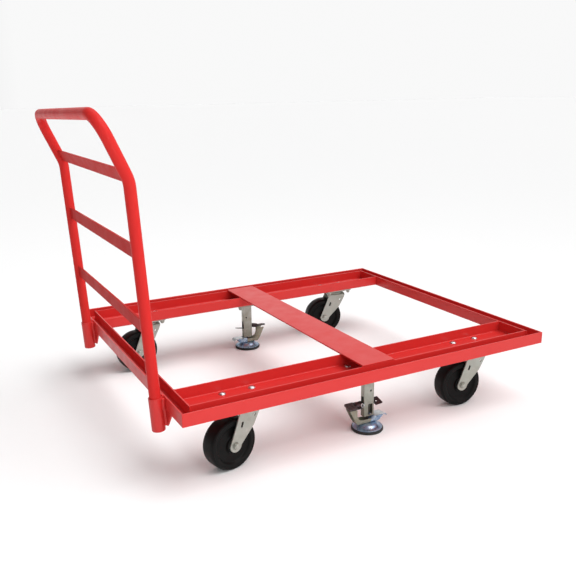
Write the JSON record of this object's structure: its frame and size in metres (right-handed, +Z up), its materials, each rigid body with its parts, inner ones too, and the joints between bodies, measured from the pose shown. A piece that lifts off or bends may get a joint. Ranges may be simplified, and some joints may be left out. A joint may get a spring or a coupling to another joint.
{
  "type": "pallet dolly with push handle",
  "caption": "Open steel deck on swivel casters with floor locks and a leaning ladder-style push handle that lifts out of its sockets.",
  "frame": {"origin": "on the floor, under the middle of the whole object's bounding box", "axes": "+X towards the deck's front end, away from the handle; +Y to the left side; +Z up"},
  "size_m": [1.4068, 1.0668, 0.9934],
  "materials": {
    "red_paint": "glossy red powder coat",
    "zinc": "satin zinc plate",
    "blue_zinc": "bright bluish zinc plate",
    "dark_steel": "dark oxide, satin",
    "tread": "satin hard tread",
    "rubber": "matte rubber"
  },
  "bodies": {
    "deck": {"rail_right": "red_paint", "rail_left": "red_paint", "rail_rear": "red_paint", "rail_front": "red_paint", "channel_right": "red_paint", "channel_left": "red_paint", "crossbar": "red_paint", "socket_right": "red_paint", "socket_left": "red_paint", "gusset_right": "red_paint", "gusset_left": "red_paint", "caster_rear_right_plate": "zinc", "caster_rear_left_plate": "zinc", "caster_front_right_plate": "zinc", "caster_front_left_plate": "zinc", "lock_right_housing": "zinc", "lock_right_spring": "zinc", "lock_left_housing": "zinc", "lock_left_spring": "zinc"},
    "handle": {"handle_tube": "red_paint", "rung_lower": "red_paint", "rung_middle": "red_paint", "rung_upper": "red_paint"},
    "caster_rear_right_swivel_body": {"caster_rear_right_race": "zinc", "caster_rear_right_fork": "zinc", "caster_rear_right_axle": "zinc", "caster_rear_right_axle_nut": "zinc"},
    "caster_rear_right_wheel_body": {"caster_rear_right_wheel": "tread", "caster_rear_right_bearing": "dark_steel"},
    "caster_rear_left_swivel_body": {"caster_rear_left_race": "zinc", "caster_rear_left_fork": "zinc", "caster_rear_left_axle": "zinc", "caster_rear_left_axle_nut": "zinc"},
    "caster_rear_left_wheel_body": {"caster_rear_left_wheel": "tread", "caster_rear_left_bearing": "dark_steel"},
    "caster_front_right_swivel_body": {"caster_front_right_race": "zinc", "caster_front_right_fork": "zinc", "caster_front_right_axle": "zinc", "caster_front_right_axle_nut": "zinc"},
    "caster_front_right_wheel_body": {"caster_front_right_wheel": "tread", "caster_front_right_bearing": "dark_steel"},
    "caster_front_left_swivel_body": {"caster_front_left_race": "zinc", "caster_front_left_fork": "zinc", "caster_front_left_axle": "zinc", "caster_front_left_axle_nut": "zinc"},
    "caster_front_left_wheel_body": {"caster_front_left_wheel": "tread", "caster_front_left_bearing": "dark_steel"},
    "lock_right_foot_body": {"lock_right_plunger": "dark_steel", "lock_right_yoke": "blue_zinc", "lock_right_foot_cup": "blue_zinc", "lock_right_foot_pad": "rubber", "lock_right_step_pedal": "dark_steel"},
    "lock_right_release_body": {"lock_right_release_pedal": "blue_zinc"},
    "lock_left_foot_body": {"lock_left_plunger": "dark_steel", "lock_left_yoke": "blue_zinc", "lock_left_foot_cup": "blue_zinc", "lock_left_foot_pad": "rubber", "lock_left_step_pedal": "dark_steel"},
    "lock_left_release_body": {"lock_left_release_pedal": "blue_zinc"}
  },
  "joints": [
    {"name": "handle_lift", "type": "slide", "parent": "deck", "child": "handle", "axis": [-0.048, 0, 0.9988], "range_m": [0, 0.12]},
    {"name": "caster_rear_right_swivel", "type": "hinge", "parent": "deck", "child": "caster_rear_right_swivel_body", "pos_m": [-0.35069, -0.4318, 0.18], "axis": [0, 0, 1], "continuous": true},
    {"name": "caster_rear_right_roll", "type": "hinge", "parent": "caster_rear_right_swivel_body", "child": "caster_rear_right_wheel_body", "pos_m": [-0.40155, -0.44261, 0.0762], "axis": [-0.2079, 0.9781, 0], "continuous": true},
    {"name": "caster_rear_left_swivel", "type": "hinge", "parent": "deck", "child": "caster_rear_left_swivel_body", "pos_m": [-0.35069, 0.4318, 0.18], "axis": [0, 0, 1], "continuous": true},
    {"name": "caster_rear_left_roll", "type": "hinge", "parent": "caster_rear_left_swivel_body", "child": "caster_rear_left_wheel_body", "pos_m": [-0.40249, 0.42727, 0.0762], "axis": [-0.0872, 0.9962, 0], "continuous": true},
    {"name": "caster_front_right_swivel", "type": "hinge", "parent": "deck", "child": "caster_front_right_swivel_body", "pos_m": [0.48731, -0.4318, 0.18], "axis": [0, 0, 1], "continuous": true},
    {"name": "caster_front_right_roll", "type": "hinge", "parent": "caster_front_right_swivel_body", "child": "caster_front_right_wheel_body", "pos_m": [0.43551, -0.42727, 0.0762], "axis": [0.0872, 0.9962, 0], "continuous": true},
    {"name": "caster_front_left_swivel", "type": "hinge", "parent": "deck", "child": "caster_front_left_swivel_body", "pos_m": [0.48731, 0.4318, 0.18], "axis": [0, 0, 1], "continuous": true},
    {"name": "caster_front_left_roll", "type": "hinge", "parent": "caster_front_left_swivel_body", "child": "caster_front_left_wheel_body", "pos_m": [0.43686, 0.44438, 0.0762], "axis": [0.2419, 0.9703, 0], "continuous": true},
    {"name": "lock_right_foot_slide", "type": "slide", "parent": "deck", "child": "lock_right_foot_body", "axis": [0, 0, 1], "range_m": [0, 0.018], "deforming": ["lock_right_spring"]},
    {"name": "lock_right_release", "type": "hinge", "parent": "lock_right_foot_body", "child": "lock_right_release_body", "pos_m": [0.10631, -0.4378, 0.038], "axis": [0, 1, 0], "range_deg": [0, 10], "stiffness_Nm_per_rad": 0.4, "springref_deg": -17.19},
    {"name": "lock_left_foot_slide", "type": "slide", "parent": "deck", "child": "lock_left_foot_body", "axis": [0, 0, 1], "range_m": [0, 0.018], "deforming": ["lock_left_spring"]},
    {"name": "lock_left_release", "type": "hinge", "parent": "lock_left_foot_body", "child": "lock_left_release_body", "pos_m": [0.03031, 0.4378, 0.038], "axis": [0, -1, 0], "range_deg": [0, 10], "stiffness_Nm_per_rad": 0.4, "springref_deg": -17.19}
  ]
}
